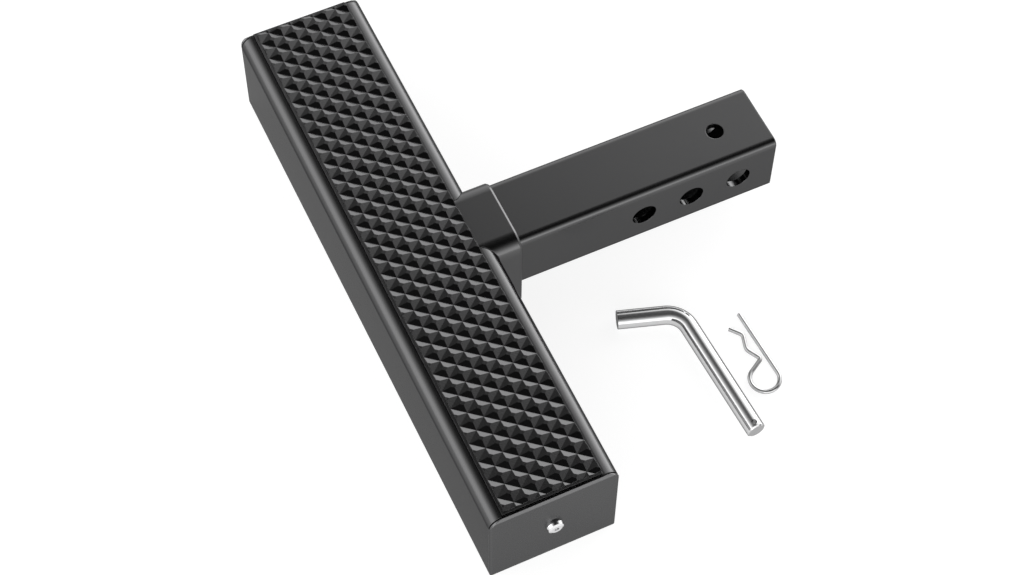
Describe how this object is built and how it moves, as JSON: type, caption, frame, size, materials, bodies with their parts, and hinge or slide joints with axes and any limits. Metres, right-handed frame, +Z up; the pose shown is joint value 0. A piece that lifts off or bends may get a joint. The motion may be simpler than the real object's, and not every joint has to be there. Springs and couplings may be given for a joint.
{
  "type": "hitch receiver step",
  "caption": "Step bar with a diamond-pattern tread on a square receiver tube with pin holes, shown with its bent hitch pin and spring clip.",
  "frame": {"origin": "middle of the bar's bottom face, on the floor", "axes": "+X along the bar, +Y along the shank towards the vehicle, +Z up"},
  "size_m": [0.4112, 0.2912, 0.0744],
  "materials": {
    "bar_coat": "satin black powder coat",
    "shank_coat": "satin black powder coat",
    "tread_mould": "satin black moulding",
    "cap_mould": "satin black moulding",
    "collar_mould": "satin black moulding",
    "zinc_screw": "bright zinc plate",
    "plain_steel": "mill finish",
    "pin_chrome": "polished plate",
    "clip_wire": "bright zinc plate"
  },
  "bodies": {
    "root": {"bar_shell": "bar_coat", "tread_pad": "tread_mould", "near_end_cap": "cap_mould", "far_end_cap": "cap_mould", "near_cap_screw": "zinc_screw", "far_cap_screw": "zinc_screw", "near_strap": "plain_steel", "far_strap": "plain_steel", "near_weld_nut": "plain_steel", "far_weld_nut": "plain_steel", "shank": "shank_coat", "shank_weld": "shank_coat", "collar": "collar_mould", "hitch_pin": "pin_chrome", "spring_clip": "clip_wire"}
  },
  "joints": []
}
